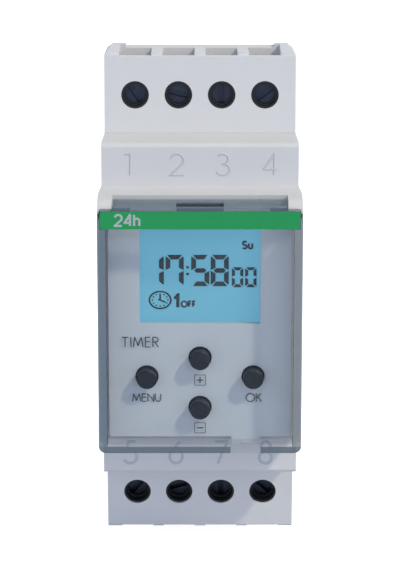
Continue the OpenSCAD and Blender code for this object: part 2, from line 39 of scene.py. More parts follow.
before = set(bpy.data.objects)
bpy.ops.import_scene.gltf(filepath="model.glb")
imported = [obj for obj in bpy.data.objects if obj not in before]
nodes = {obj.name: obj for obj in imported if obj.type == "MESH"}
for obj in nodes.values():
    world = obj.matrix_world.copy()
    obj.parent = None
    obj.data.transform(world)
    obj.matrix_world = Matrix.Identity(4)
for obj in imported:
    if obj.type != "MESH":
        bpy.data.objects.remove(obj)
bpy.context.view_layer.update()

MM = 0.001


def low(node):
    """Lowest corner of a CAD node, in millimetres."""
    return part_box(node)[0] / MM


def high(node):
    """Highest corner of a CAD node, in millimetres."""
    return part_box(node)[1] / MM


# ---------------------------------------------------------------- camera and light

CAMERA_TILT = 17.7  # degrees below the horizon
CAMERA_DISTANCE = 547.4  # from the front of the lid
CAMERA_LENS = 202.98
AIM_HEIGHT = 8.26  # above the rail's centre line, where the view meets the lid's front
SUN_STRENGTH = 1.9
SUN_COLOR = (1.0, 0.93, 0.68)
SUN_SPREAD = 4.0  # degrees across, for the softness of its shadows
SUN_TRAVEL = (-0.774, 0.5, -1.0)  # from the upper right, a little in front
STUDIO_COLOR = (0.80, 0.87, 1.0, 1)
STUDIO_GLOW = 1.47  # strength of the studio's light at the horizon
OVERHEAD_GLOW = 0.15  # and straight above


def make_camera():
    tilt = math.radians(CAMERA_TILT)
    aim = Vector((0, low("lid").y, AIM_HEIGHT))
    ahead = Vector((0, math.cos(tilt), -math.sin(tilt)))
    data = bpy.data.cameras.new("camera")
    data.lens = CAMERA_LENS
    data.sensor_width = 36
    data.clip_start = 0.01
    data.clip_end = 20
    camera = bpy.data.objects.new("camera", data)
    camera.location = (aim - ahead * CAMERA_DISTANCE) * MM
    camera.rotation_euler = (math.pi / 2 - tilt, 0, 0)
    bpy.context.scene.collection.objects.link(camera)
    bpy.context.scene.camera = camera


def make_light():
    sun = bpy.data.lights.new("key_light", "SUN")
    sun.energy = SUN_STRENGTH
    sun.color = SUN_COLOR
    sun.angle = math.radians(SUN_SPREAD)
    key = bpy.data.objects.new("key_light", sun)
    key.rotation_euler = Vector(SUN_TRAVEL).to_track_quat("-Z", "Y").to_euler()
    bpy.context.scene.collection.objects.link(key)


def make_world():
    """A cool studio light, dimmer overhead; straight on, the camera sees plain white."""
    world = bpy.data.worlds.new("studio")
    world.use_nodes = True
    tree = world.node_tree
    glow = tree.nodes["Background"]
    glow.inputs["Color"].default_value = STUDIO_COLOR
    place = tree.nodes.new("ShaderNodeTexCoord")
    parts = tree.nodes.new("ShaderNodeSeparateXYZ")
    fade = tree.nodes.new("ShaderNodeMapRange")  # horizon to zenith
    fade.inputs["To Min"].default_value = STUDIO_GLOW
    fade.inputs["To Max"].default_value = OVERHEAD_GLOW
    tree.links.new(place.outputs["Generated"], parts.inputs[0])
    tree.links.new(parts.outputs["Z"], fade.inputs["Value"])
    tree.links.new(fade.outputs["Result"], glow.inputs["Strength"])
    white = tree.nodes.new("ShaderNodeBackground")
    white.inputs["Color"].default_value = (1, 1, 1, 1)
    path = tree.nodes.new("ShaderNodeLightPath")
    mix = tree.nodes.new("ShaderNodeMixShader")
    tree.links.new(path.outputs["Is Camera Ray"], mix.inputs["Fac"])
    tree.links.new(glow.outputs[0], mix.inputs[1])
    tree.links.new(white.outputs[0], mix.inputs[2])
    tree.links.new(mix.outputs[0], tree.nodes["World Output"].inputs["Surface"])
    bpy.context.scene.world = world
    bpy.context.scene.view_settings.view_transform = "Standard"


# ---------------------------------------------------------------- materials


def srgb(red, green, blue):
    """A colour given as 0 to 255 display values, in the renderer's linear light."""

    def linear(value):
        value /= 255
        return value / 12.92 if value <= 0.04045 else ((value + 0.055) / 1.055) ** 2.4

    return (linear(red), linear(green), linear(blue), 1)


class Finish:
    """A procedural material: one Principled shader and the textures that drive it."""

    def __init__(self, name, color, roughness, metallic=0.0, ior=1.46):
        self.material = bpy.data.materials.new(name)
        self.material.use_nodes = True
        self.tree = self.material.node_tree
        self.shader = self.tree.nodes["Principled BSDF"]
        self.color = color
        self.roughness = roughness
        self.shader.inputs["Base Color"].default_value = color
        self.shader.inputs["Roughness"].default_value = roughness
        self.shader.inputs["Metallic"].default_value = metallic
        self.shader.inputs["IOR"].default_value = ior
        place = self.tree.nodes.new("ShaderNodeTexCoord")
        self.place = place.outputs["Object"]

    def node(self, kind, **inputs):
        made = self.tree.nodes.new("ShaderNode" + kind)
        for key, value in inputs.items():
            if isinstance(value, bpy.types.NodeSocket):
                self.tree.links.new(value, made.inputs[key])
            else:
                made.inputs[key].default_value = value
        return made

    def math(self, operation, *values):
        made = self.tree.nodes.new("ShaderNodeMath")
        made.operation = operation
        for socket, value in zip(made.inputs, values):
            if isinstance(value, bpy.types.NodeSocket):
                self.tree.links.new(value, socket)
            else:
                socket.default_value = value
        return made.outputs[0]

    def noise(self, size, detail=3.0):
        """Noise from 0 to 1 whose lumps are about size millimetres across."""
        made = self.node("TexNoise", Vector=self.place, Scale=1 / (size * MM), Detail=detail)
        return made.outputs["Fac"]

    def scaled(self, value, bottom, top):
        """A value from 0 to 1 spread over bottom to top."""
        made = self.node("MapRange", Value=value)
        made.inputs["To Min"].default_value = bottom
        made.inputs["To Max"].default_value = top
        return made.outputs["Result"]

    def mixed(self, share, first, second):
        """The first colour at a share of 0, the second at 1."""
        made = self.tree.nodes.new("ShaderNodeMix")
        made.data_type = "RGBA"
        for socket, value in ((made.inputs[0], share), (made.inputs[6], first), (made.inputs[7], second)):
            if isinstance(value, bpy.types.NodeSocket):
                self.tree.links.new(value, socket)
            else:
                socket.default_value = value
        return made.outputs[2]

    def mottle(self, amount, size):
        """The colour drifts a little lighter and darker."""
        red, green, blue, _ = self.color
        dark = (red * (1 - amount), green * (1 - amount), blue * (1 - amount), 1)
        light = (red * (1 + amount), green * (1 + amount), blue * (1 + amount), 1)
        self.paint(self.mixed(self.noise(size), dark, light))
        return self

    def paint(self, color):
        self.tree.links.new(color, self.shader.inputs["Base Color"])

    def rub(self, spread, size):
        """The gloss varies, as on handled or moulded surfaces."""
        value = self.scaled(self.noise(size), self.roughness - spread, self.roughness + spread)
        self.tree.links.new(value, self.shader.inputs["Roughness"])
        return self

    def emboss(self, height, depth):
        """A bump of the given depth in millimetres, from a height of 0 to 1."""
        bump = self.node("Bump", Height=height, Distance=depth * MM)
        self.tree.links.new(bump.outputs["Normal"], self.shader.inputs["Normal"])
        return self

    def grain(self, size, depth):
        return self.emboss(self.noise(size, 2.0), depth)

    def axes(self):
        """Place on the object along X, Y and Z, in metres."""
        parts = self.node("SeparateXYZ", Vector=self.place)
        return parts.outputs["X"], parts.outputs["Y"], parts.outputs["Z"]


def moulded(name, color, roughness=0.42, grain=0.22, depth=0.006):
    """Moulded plastic with the fine texture of an eroded tool."""
    return Finish(name, color, roughness).mottle(0.025, 9).rub(0.06, 2.5).grain(grain, depth)


def metal(name, color, roughness=0.34):
    """Plated metal with a soft, slightly uneven shine."""
    finish = Finish(name, color, roughness, metallic=1.0)
    return finish.mottle(0.12, 0.8).rub(0.10, 0.5).grain(0.12, 0.004)


# Places on the lid, in millimetres
LID_WALL = 1.4  # thickness of its side walls
LID_FLOOR = 1.15  # height of its lower rim
LID_FRONT = 0.4  # depth of the surface that counts as its front
SKIN = 0.05  # either side of a surface
CATCH_MIDDLE = 7.9  # its lower rim is notched here, round the panel's tongue
CATCH_HALF = 2.6
HINGE_BAND = 1.9  # height of the band round the hinge
CROWN_BAND, CROWN_HALF = 0.7, 14.2  # top of the hinge barrel, between the ears
SLOT_HALF, SLOT_TOP = 4.05, 0.45  # finger slot: half width, and its distance below the top
SLOT_FRONT, SLOT_BACK = 0.75, 3.1  # its distances behind the front

# Colours of the tinted plastic, some of them painted light and shade, and how much more each part of the
# lid hides than the plate does
TINT = (0.065, 0.09, 0.14, 1)
TINT_WALL = (0.16, 0.215, 0.28, 1)
# the inner face of the side walls is painted dark: a painted shade line along the rim's inner edge
INNER_WALL_PAINTED_SHADE = (0.035, 0.05, 0.07, 1)
# the top of the hinge barrel is painted lighter: painted light on the top that faces up
CROWN_PAINTED_LIGHT = (0.18, 0.25, 0.33, 1)
# the finger slot is painted dark: painted shade inside the recess
SLOT_PAINTED_SHADE = (0.06, 0.08, 0.11, 1)
# the front rim is painted: shaded on the left, lit by painted sunlight on the right, darker along the
# bottom
RIM_SHADED = (0.155, 0.205, 0.260, 1)
RIM_SUNNY = (0.25, 0.275, 0.31, 1)
RIM_LOWER = (0.110, 0.150, 0.195, 1)
PLATE_HIDES = (0.07, 0.08)
WALL_HIDES, HINGE_HIDES, INNER_SHADE_HIDES, RIM_HIDES, SLOT_SHADE_HIDES = 0.16, 0.42, 0.45, 0.82, 0.4
MOST_HIDDEN = 0.92


def smoked():
    """Tinted clear plastic: see-through over the panel, dense at the rim that faces forwards, with painted
    light and shade on its rim, hinge barrel top, finger slot and inner walls.
    """
    finish = Finish("smoke_clear", TINT, 0.09, ior=1.49)
    bottom, top = low("lid"), high("lid")
    x, y, z = finish.axes()
    reach = finish.math("ABSOLUTE", x)

    def above(value, start):
        return finish.math("GREATER_THAN", value, start * MM)

    def below(value, end):
        return finish.math("LESS_THAN", value, end * MM)

    def both(first, second):
        return finish.math("MULTIPLY", first, second)

    def either(first, second):
        return finish.math("MAXIMUM", first, second)

    def between(value, start, end):
        return both(above(value, start), below(value, end))

    wall = above(reach, top.x - LID_WALL - SKIN)
    front = below(y, bottom.y + LID_FRONT)
    notch = between(x, CATCH_MIDDLE - CATCH_HALF, CATCH_MIDDLE + CATCH_HALF)
    lower = both(below(z, bottom.z + LID_FLOOR), finish.math("SUBTRACT", 1.0, notch))
    rim = both(front, either(wall, lower))
    hinge = above(z, top.z - HINGE_BAND)
    slot = both(both(below(reach, SLOT_HALF), hinge),
                both(between(y, bottom.y + SLOT_FRONT, bottom.y + SLOT_BACK), below(z, top.z - SLOT_TOP)))
    lit_crown = both(above(z, top.z - CROWN_BAND), below(reach, CROWN_HALF))
    inner_wall_shade = between(reach, top.x - LID_WALL - SKIN, top.x - LID_WALL + SKIN)
    sunny = above(x, 0.0)

    # painted light and shade: the front rim lighter on the right where the sun falls, shaded on the left,
    # darker along the bottom
    edge = finish.mixed(lower, finish.mixed(sunny, RIM_SHADED, RIM_SUNNY), RIM_LOWER)
    color = finish.mixed(either(wall, hinge), finish.color, TINT_WALL)
    # painted shade: a dark line painted along the inner face of the side walls
    color = finish.mixed(inner_wall_shade, color, INNER_WALL_PAINTED_SHADE)
    # painted light: the barrel's top band painted lighter than its front
    color = finish.mixed(lit_crown, color, CROWN_PAINTED_LIGHT)
    color = finish.mixed(rim, color, edge)
    # painted shade: the finger slot painted dark and dense, standing in for the shade in its recess
    finish.paint(finish.mixed(slot, color, SLOT_PAINTED_SHADE))

    solid = finish.scaled(finish.noise(6), *PLATE_HIDES)
    for mask, more in ((wall, WALL_HIDES), (hinge, HINGE_HIDES), (inner_wall_shade, INNER_SHADE_HIDES),
                       (rim, RIM_HIDES), (slot, SLOT_SHADE_HIDES)):
        solid = finish.math("ADD", solid, finish.math("MULTIPLY", mask, more))
    finish.tree.links.new(finish.math("MINIMUM", solid, MOST_HIDDEN), finish.shader.inputs["Alpha"])
    return finish.rub(0.03, 3)


def window_clear():
    """Clear, hard window of the display."""
    finish = Finish("clear", srgb(190, 215, 225), 0.05, ior=1.49)
    finish.tree.links.new(finish.scaled(finish.noise(4), 0.03, 0.05), finish.shader.inputs["Alpha"])
    return finish.rub(0.02, 2)


DISPLAY_GLOW = 0.71


def display_glass():
    """Backlit liquid crystal glass: a cyan that drifts a little across the display."""
    finish = Finish("lcd", srgb(84, 139, 162), 0.22, ior=1.5)
    glow = finish.mixed(finish.noise(14), (0.120, 0.395, 0.555, 1), (0.132, 0.425, 0.590, 1))
    finish.paint(finish.mixed(finish.noise(10), srgb(80, 134, 157), srgb(88, 144, 167)))
    finish.tree.links.new(glow, finish.shader.inputs["Emission Color"])
    finish.shader.inputs["Emission Strength"].default_value = DISPLAY_GLOW
    return finish.rub(0.03, 5)


def circuit_board():
    """Green solder mask over copper tracks."""
    finish = Finish("circuit_board", srgb(22, 92, 52), 0.38, ior=1.5)
    brick = finish.node("TexBrick", Vector=finish.place, Scale=420.0)  # tracks about a millimetre apart
    brick.inputs["Color1"].default_value = srgb(24, 98, 55)
    brick.inputs["Color2"].default_value = srgb(20, 84, 47)
    brick.inputs["Mortar"].default_value = srgb(44, 128, 70)
    finish.paint(brick.outputs["Color"])
    return finish.rub(0.08, 2).emboss(brick.outputs["Fac"], 0.02)


def ribbed(name, color, pitch, roughness=0.6):
    """Soft rubber with fine conductive layers."""
    finish = Finish(name, color, roughness)
    x, _, _ = finish.axes()
    wave = finish.math("SINE", finish.math("MULTIPLY", x, 2 * math.pi / (pitch * MM)))
    share = finish.scaled(finish.math("MULTIPLY", finish.math("ADD", wave, 1.0), 0.5), 0.0, 1.0)
    red, green, blue, _ = color
    finish.paint(finish.mixed(share, color, (red * 0.4, green * 0.4, blue * 0.4, 1)))
    return finish.emboss(share, 0.01)


def printed(name, color, roughness, drift=0.10, size=0.8):
    """A thin, flat coat of ink, or the dark of a display segment."""
    return Finish(name, color, roughness).mottle(drift, size).rub(0.05, 0.5)


FINISHES = {
    "case": moulded("case", srgb(213, 213, 219), 0.46),
    "panel": moulded("panel", srgb(206, 214, 226), 0.40, grain=0.16, depth=0.004),
    "smoke_clear": smoked(),
    "clear": window_clear(),
    "green_band": moulded("green_band", srgb(22, 152, 84), 0.36, grain=0.12, depth=0.002),
    "black_plastic": moulded("black_plastic", srgb(22, 24, 28), 0.40),
    "button_plastic": moulded("button_plastic", srgb(26, 31, 40), 0.50, grain=0.10, depth=0.002),
    "white_plastic": moulded("white_plastic", srgb(230, 230, 226), 0.38),
    "zinc_steel": metal("zinc_steel", srgb(61, 66, 78), 0.42),
    "spring_steel": metal("spring_steel", srgb(150, 152, 156), 0.28),
    "tinned_brass": metal("tinned_brass", srgb(196, 194, 188), 0.36),
    "circuit_board": circuit_board(),
    "relay_blue": moulded("relay_blue", srgb(34, 66, 140), 0.35),
    "film_yellow": moulded("film_yellow", srgb(206, 184, 66), 0.42),
    "sleeve_dark": moulded("sleeve_dark", srgb(30, 34, 52), 0.28),
    "disc_blue": moulded("disc_blue", srgb(44, 92, 168), 0.50),
    "lcd": display_glass(),
    "backlight": moulded("backlight", srgb(214, 236, 242), 0.30),
    "strip_rubber": ribbed("strip_rubber", srgb(150, 96, 150), 0.18),
}
# The raised numerals are painted darker than the case, as painted shade along their strokes; the lower
# ones are painted darker and bluer still, as the painted shadow of the lid
RELIEF_PAINTED_SHADE = moulded("case_relief", srgb(198, 199, 205), 0.50)
RELIEF_PAINTED_LID_SHADOW = moulded("case_relief_shaded", srgb(186, 191, 205), 0.50)
INK = printed("legend_ink", srgb(62, 68, 78), 0.62, size=0.6)
SEGMENT = printed("segment_dark", srgb(24, 26, 36), 0.55)
BAND_MARK = printed("band_mark", srgb(176, 182, 190), 0.45, drift=0.03)

BUTTONS = ("menu", "plus", "minus", "ok")
TERMINALS = range(1, 9)

NODE_FINISH = {
    "case": ["base_shell", "terminal_block_top", "terminal_block_bottom", "front_shell"],
    "panel": ["front_panel"],
    "smoke_clear": ["lid"],
    "clear": ["display_window"],
    "green_band": ["color_band"],
    # the screw guides are black, which darkens the terminal holes: painted shade inside them
    "black_plastic": ["hinge_pins", "rail_latch", "screw_guides_top", "screw_guides_bottom",
                      "rectifier_diodes", "controller_chip", "cell_holder", "tact_switches", "board_link"],
    "button_plastic": [f"{name}_button" for name in BUTTONS],
    "white_plastic": ["lcd_frame"] + [f"{name}_plunger" for name in BUTTONS],
    "zinc_steel": ["board_screws"] + [f"terminal_screw_{i}" for i in TERMINALS],
    "tinned_brass": ["contact_bars_top", "contact_bars_bottom", "coin_cell", "crystal"]
    + [f"clamp_cage_{i}" for i in TERMINALS],
    "spring_steel": ["latch_spring"],
    "circuit_board": ["main_board", "display_board"],
    "relay_blue": ["relay"],
    "film_yellow": ["film_capacitor"],
    "sleeve_dark": ["electrolytic_capacitor"],
    "disc_blue": ["varistor"],
    "lcd": ["lcd_glass"],
    "backlight": ["lcd_backlight"],
    "strip_rubber": ["contact_strips"],
}

# Width of the soft edges that moulding or pressing leaves on each node, in millimetres.
# The rail latch has none: a softened corner would leave the CAD box.
EDGE = {
    "base_shell": 0.25, "terminal_block_top": 0.25, "terminal_block_bottom": 0.25, "front_shell": 0.25,
    "front_panel": 0.12, "lid": 0.16, "color_band": 0.03, "relay": 0.4, "film_capacitor": 0.3,
    "cell_holder": 0.15, "lcd_frame": 0.1, "main_board": 0.05, "display_board": 0.05,
    "controller_chip": 0.05, "tact_switches": 0.08, "board_link": 0.06, "display_window": 0.05,
}
CREASE = 32  # degrees: an edge where the surface turns by more than this is softened


EDGE.update({f"{name}_button": 0.12 for name in BUTTONS})
EDGE.update({f"terminal_screw_{i}": 0.07 for i in TERMINALS})
EDGE.update({f"clamp_cage_{i}": 0.08 for i in TERMINALS})


def dress_nodes():
    """Each CAD node gets its material, and most get softened edges."""
    for finish, names in NODE_FINISH.items():
        for name in names:
            node = nodes[name]
            node.data.materials.clear()
            node.data.materials.append(FINISHES[finish].material)
    for name, width in EDGE.items():
        soften(nodes[name], width)


def soften(node, width):
    """Clean flat faces, then a narrow bevel along every edge between them."""
    weld = node.modifiers.new("weld", "WELD")
    weld.merge_threshold = 0.001 * MM
    flat = node.modifiers.new("flat", "DECIMATE")
    flat.decimate_type = "DISSOLVE"
    flat.angle_limit = math.radians(1)
    bevel = node.modifiers.new("soft_edges", "BEVEL")
    bevel.width = width * MM
    bevel.segments = 2
    bevel.limit_method = "ANGLE"
    bevel.angle_limit = math.radians(CREASE)
    bevel.use_clamp_overlap = True
    bevel.harden_normals = False
    smooth = node.modifiers.new("normals", "WEIGHTED_NORMAL")
    smooth.keep_sharp = False


# ---------------------------------------------------------------- strokes and plates


def arc(x, z, rx, rz, start, end):
    """Points along part of an ellipse, from start to end degrees."""
    steps = max(4, round(abs(end - start) / 15))
    angles = [math.radians(start + (end - start) * k / steps) for k in range(steps + 1)]
    return [(x + rx * math.cos(a), z + rz * math.sin(a)) for a in angles]


# Single-line letters and figures: width, then strokes, for a height of 1
GLYPHS = {
    "1": (0.24, [[(0.0, 0.97), (0.05, 1.0), (0.24, 1.0), (0.24, 0.0)]]),
    "2": (0.62, [arc(0.31, 0.70, 0.30, 0.30, 165, -35) + [(0.0, 0.0), (0.62, 0.0)]]),
    "3": (0.60, [arc(0.29, 0.765, 0.235, 0.235, 155, -90) + arc(0.29, 0.265, 0.31, 0.265, 90, -160)]),
    "4": (0.58, [[(0.46, 0.0), (0.46, 1.0), (0.0, 0.28), (0.58, 0.28)]]),
    "5": (0.60, [[(0.54, 1.0), (0.20, 1.0), (0.11, 0.55)] + arc(0.27, 0.31, 0.32, 0.31, 120, -155)]),
    "6": (0.62, [arc(0.31, 0.31, 0.31, 0.31, 90, 450), [(0.48, 1.0), (0.05, 0.46)]]),
    "7": (0.58, [[(0.0, 1.0), (0.58, 1.0), (0.14, 0.0)]]),
    "8": (0.60, [arc(0.30, 0.765, 0.22, 0.235, 90, 450), arc(0.30, 0.265, 0.30, 0.265, 90, 450)]),
    "E": (0.50, [[(0.5, 1.0), (0.0, 1.0), (0.0, 0.0), (0.5, 0.0)], [(0.0, 0.53), (0.46, 0.53)]]),
    "F": (0.44, [[(0.44, 1.0), (0.0, 1.0), (0.0, 0.0)], [(0.0, 0.52), (0.40, 0.52)]]),
    "I": (0.0, [[(0.0, 0.0), (0.0, 1.0)]]),
    "K": (0.56, [[(0.0, 0.0), (0.0, 1.0)], [(0.50, 1.0), (0.02, 0.45)], [(0.16, 0.61), (0.56, 0.0)]]),
    "M": (0.94, [[(0.0, 0.0), (0.15, 1.0), (0.47, 0.14), (0.79, 1.0), (0.94, 0.0)]]),
    "N": (0.70, [[(0.0, 0.0), (0.0, 1.0), (0.70, 0.0), (0.70, 1.0)]]),
    "O": (1.00, [arc(0.50, 0.50, 0.50, 0.50, 90, 450)]),
    "R": (0.54, [[(0.0, 0.0), (0.0, 1.0)] + arc(0.27, 0.76, 0.26, 0.24, 90, -90) + [(0.02, 0.52)],
                 [(0.20, 0.52), (0.54, 0.0)]]),
    "S": (0.54, [arc(0.27, 0.75, 0.24, 0.25, 25, 270) + arc(0.27, 0.25, 0.26, 0.25, 90, -155)]),
    "T": (0.64, [[(0.0, 1.0), (0.64, 1.0)], [(0.32, 1.0), (0.32, 0.0)]]),
    "U": (0.60, [[(0.0, 1.0), (0.0, 0.30)] + arc(0.30, 0.30, 0.30, 0.30, 180, 360) + [(0.60, 1.0)]]),
    "u": (0.48, [[(0.0, 0.72), (0.0, 0.24)] + arc(0.24, 0.24, 0.24, 0.24, 180, 360),
                 [(0.48, 0.72), (0.48, 0.0)]]),
    "h": (0.46, [[(0.0, 0.0), (0.0, 1.0)],
                 [(0.0, 0.42)] + arc(0.23, 0.42, 0.23, 0.24, 180, 0) + [(0.46, 0.0)]]),
}


def text_width(text, spacing, narrow):
    """Width of a line of text of height 1."""
    return sum(GLYPHS[c][0] * narrow for c in text) + spacing * (len(text) - 1)


def text_paths(text, x, z, height, spacing=0.16, narrow=1.0, centred=False):
    """Strokes of a line of text whose lower left corner, or lower middle, is at x, z."""
    if centred:
        x -= height * text_width(text, spacing, narrow) / 2
    paths = []
    for c in text:
        width, strokes = GLYPHS[c]
        paths += [[(x + px * narrow * height, z + pz * height) for px, pz in stroke] for stroke in strokes]
        x += (width * narrow + spacing) * height
    return paths


def add_piece(name, mesh, finish, body):
    """A piece that isn't in the CAD: it rides on a body and wears the given finish's material."""
    piece = bpy.data.objects.new(name, mesh)
    bpy.context.scene.collection.objects.link(piece)
    mesh.materials.append(finish.material)
    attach(piece, body)
    return piece


STROKE_TURN = 40  # degrees: a stroke that turns by more than this is drawn as two
STROKE_PAST = 0.7  # how far each of the two then goes past the corner, in radii of the stroke


def unfold(route, radius):
    """The route cut into pieces at its sharp corners, where one bent tube would pinch."""
    pieces, piece = [], [route[0]]
    for before, corner, after in zip(route, route[1:], route[2:]):
        coming, going = (corner - before).normalized(), (after - corner).normalized()
        if coming.dot(going) > math.cos(math.radians(STROKE_TURN)):
            piece.append(corner)
            continue
        pieces.append(piece + [corner + coming * STROKE_PAST * radius])
        piece = [corner - going * STROKE_PAST * radius]
    return pieces + [piece + [route[-1]]]


def tube_mesh(name, routes, radius, sides=2):
    """A mesh of round tubes along routes, lists of points in millimetres."""
    curve = bpy.data.curves.new(name, "CURVE")
    curve.dimensions = "3D"
    curve.bevel_depth = radius * MM
    curve.bevel_resolution = sides
    curve.use_fill_caps = True
    for route in routes:
        closed = (route[0] - route[-1]).length < 1e-6
        points = route[:-1] if closed else route
        spline = curve.splines.new("POLY")
        spline.points.add(len(points) - 1)
        spline.use_cyclic_u = closed
        for point, place in zip(spline.points, points):
            point.co = (*(c * MM for c in place), 1)
    holder = bpy.data.objects.new(name, curve)
    bpy.context.scene.collection.objects.link(holder)
    bpy.context.view_layer.update()
    made = holder.evaluated_get(bpy.context.evaluated_depsgraph_get())
    mesh = bpy.data.meshes.new_from_object(made)
    bpy.data.objects.remove(holder)
    bpy.data.curves.remove(curve)
    mesh.materials.clear()
    for face in mesh.polygons:
        face.use_smooth = True
    return mesh


def draw(name, paths, y, stroke, rise, finish, body="case"):
    """Strokes on a surface that faces -Y at y, standing rise proud of it."""
    routes = []
    for path in paths:
        routes += unfold([Vector((x, 0, z)) for x, z in path], stroke / 2)
    mesh = tube_mesh(name, routes, stroke / 2)
    for vertex in mesh.vertices:
        vertex.co.y = y * MM + vertex.co.y * 2 * rise / stroke
    return add_piece(name, mesh, finish, body)


def plate_mesh(name, outlines, front, thickness):
    """Flat plates: each outline of (x, z) points, counter-clockwise from the front, made solid."""
    points, faces = [], []
    for outline in outlines:
        start, count = len(points), len(outline)
        points += [(x * MM, front * MM, z * MM) for x, z in outline]
        points += [(x * MM, (front + thickness) * MM, z * MM) for x, z in outline]
        faces.append([start + k for k in range(count)])
        faces.append([start + count + k for k in reversed(range(count))])
        for k in range(count):
            after = (k + 1) % count
            faces.append([start + after, start + k, start + count + k, start + count + after])
    mesh = bpy.data.meshes.new(name)
    mesh.from_pydata(points, [], faces)
    mesh.update()
    return mesh


# ---------------------------------------------------------------- display

DIGIT_CUT = 0.22 / 0.85  # cut corner of a segment, as a share of its stroke
SEGMENT_GAP = 0.07
SHOWN = {"1": "bc", "5": "afgcd", "7": "afbc", "8": "abcdefg", "0": "abcdef"}


def digit(figure, x, z, width, height, stroke):
    """Outlines of one seven-segment figure whose lower left corner is at x, z."""
    cut, gap = DIGIT_CUT * stroke, SEGMENT_GAP
    middle = height / 2
    top = [(cut + gap, height), (width - cut - gap, height), (width - stroke - gap, height - stroke),
           (stroke + gap, height - stroke)]
    side = [(0, middle + gap), (stroke, middle + stroke / 2 + gap), (stroke, height - stroke - gap),
            (cut * 0.7, height - cut - gap), (0, height - cut * 1.6 - gap)]
    bar = [(stroke / 2 + gap, middle), (stroke + gap, middle + stroke / 2),
           (width - stroke - gap, middle + stroke / 2), (width - stroke / 2 - gap, middle),
           (width - stroke - gap, middle - stroke / 2), (stroke + gap, middle - stroke / 2)]
    right = [(width - px, pz) for px, pz in side]
    shapes = {
        "a": top, "f": side, "g": bar, "b": right,
        "d": [(px, height - pz) for px, pz in top],
        "e": [(px, height - pz) for px, pz in side],
        "c": [(px, height - pz) for px, pz in right],
    }
    return [[(x + px, z + pz) for px, pz in facing(shapes[s])] for s in SHOWN[figure]]


def facing(outline):
    """The outline counter-clockwise as seen from the front, where +X is right and +Z is up."""
    area = sum(a[0] * b[1] - b[0] * a[1] for a, b in zip(outline, outline[1:] + outline[:1]))
    return outline if area > 0 else outline[::-1]


def square(x, z, width, height):
    """A rectangle about x, z."""
    return [(x - width / 2, z - height / 2), (x + width / 2, z - height / 2),
            (x + width / 2, z + height / 2), (x - width / 2, z + height / 2)]


# Figures of the display: left edges in x, and how far their feet are below the glass's upper edge
DIGITS = (("1", -9.35), ("7", -5.93), ("5", -1.52), ("8", 1.83))
DIGITS_DOWN, DIGIT_WIDTH, DIGIT_HEIGHT, DIGIT_STROKE = 10.79, 3.13, 5.65, 0.84
SECONDS = (("0", 5.48), ("0", 7.76))
SECONDS_DOWN, SECOND_WIDTH, SECOND_HEIGHT, SECOND_STROKE = 10.99, 1.98, 3.62, 0.55
COLON_X, COLON_UP = -2.13, (2.2, 3.41)
DAY_X, DAY_DOWN = 7.34, 4.02
STATE_X, STATE_DOWN = -3.2, 14.54
CLOCK_X, CLOCK_DOWN = -6.88, 13.3
CHANNEL_LEFT, CHANNEL_RIGHT, CHANNEL_DOWN, CHANNEL_TOP = -4.52, -3.52, 14.62, 12.05
SEGMENT_LIFT, SEGMENT_THICK = 0.03, 0.02  # plates: distance of their front from the glass, and thickness
LINE_LIFT, LINE_RISE = 0.02, 0.01  # drawn lines: the same


def make_display():
    glass, upper = low("lcd_glass").y, high("lcd_glass").z
    outlines = []
    for figure, x in DIGITS:
        outlines += digit(figure, x, upper - DIGITS_DOWN, DIGIT_WIDTH, DIGIT_HEIGHT, DIGIT_STROKE)
    for figure, x in SECONDS:
        outlines += digit(figure, x, upper - SECONDS_DOWN, SECOND_WIDTH, SECOND_HEIGHT, SECOND_STROKE)
    for up in COLON_UP:
        outlines.append(arc(COLON_X, upper - DIGITS_DOWN + up, 0.27, 0.24, 0, 345))
    show_plates("display_figures", outlines, glass)

    day = text_paths("Su", DAY_X, upper - DAY_DOWN, 1.28, spacing=0.26)
    show_lines("display_day", day, glass, 0.36)
    state = text_paths("OFF", STATE_X, upper - STATE_DOWN, 1.0, spacing=0.30, narrow=0.95)
    show_lines("display_state", state, glass, 0.32)
    make_clock(CLOCK_X, upper - CLOCK_DOWN, glass)

    left, right, foot, head = CHANNEL_LEFT, CHANNEL_RIGHT, upper - CHANNEL_DOWN, upper - CHANNEL_TOP
    figure_one = [(right - 0.6, foot), (right, foot), (right, head), (right - 0.42, head),
                  (right - 0.72, head - 0.42), (left, head - 0.72), (left, head - 1.15),
                  (right - 0.6, head - 1.0)]
    show_plates("display_channel", [facing(figure_one)], glass)


def show_plates(name, outlines, glass):
    mesh = plate_mesh(name, outlines, glass - SEGMENT_LIFT, SEGMENT_THICK)
    add_piece(name, mesh, SEGMENT, "case")


def show_lines(name, paths, glass, stroke):
    draw(name, paths, glass - LINE_LIFT, stroke, LINE_RISE, SEGMENT)


def make_clock(x, z, glass):
    """Small clock face that marks the programme."""
    rx, rz = 1.85, 1.55
    show_lines("display_clock_ring", [arc(x, z, rx, rz, 0, 360)], glass, 0.32)
    outlines = []
    for hour in range(12):
        a = math.radians(30 * hour)
        outlines.append(square(x + 0.72 * rx * math.cos(a), z + 0.72 * rz * math.sin(a), 0.26, 0.24))
    outlines.append(square(x, z + 0.46, 0.30, 1.05))  # the hand that points up
    a = math.radians(-24)  # the other hand
    along, across = (math.cos(a), math.sin(a)), (-math.sin(a), math.cos(a))
    hand = [(x + along[0] * s + across[0] * t, z + along[1] * s + across[1] * t)
            for s, t in ((-0.35, -0.14), (1.05, -0.14), (1.05, 0.14), (-0.35, 0.14))]
    outlines.append(facing(hand))
    show_plates("display_clock_face", outlines, glass)


# ---------------------------------------------------------------- legends and numerals

LEGEND_RISE = 0.03
SIGN_DOWN = {"plus": 4.05, "minus": 3.81}  # from a button's middle to its sign's
SIGN_HALF, SIGN_CORNER, SIGN_ARM = 0.94, 0.12, 0.56


def button_place(name):
    centre = (low(name) + high(name)) / 2
    return centre.x, centre.z


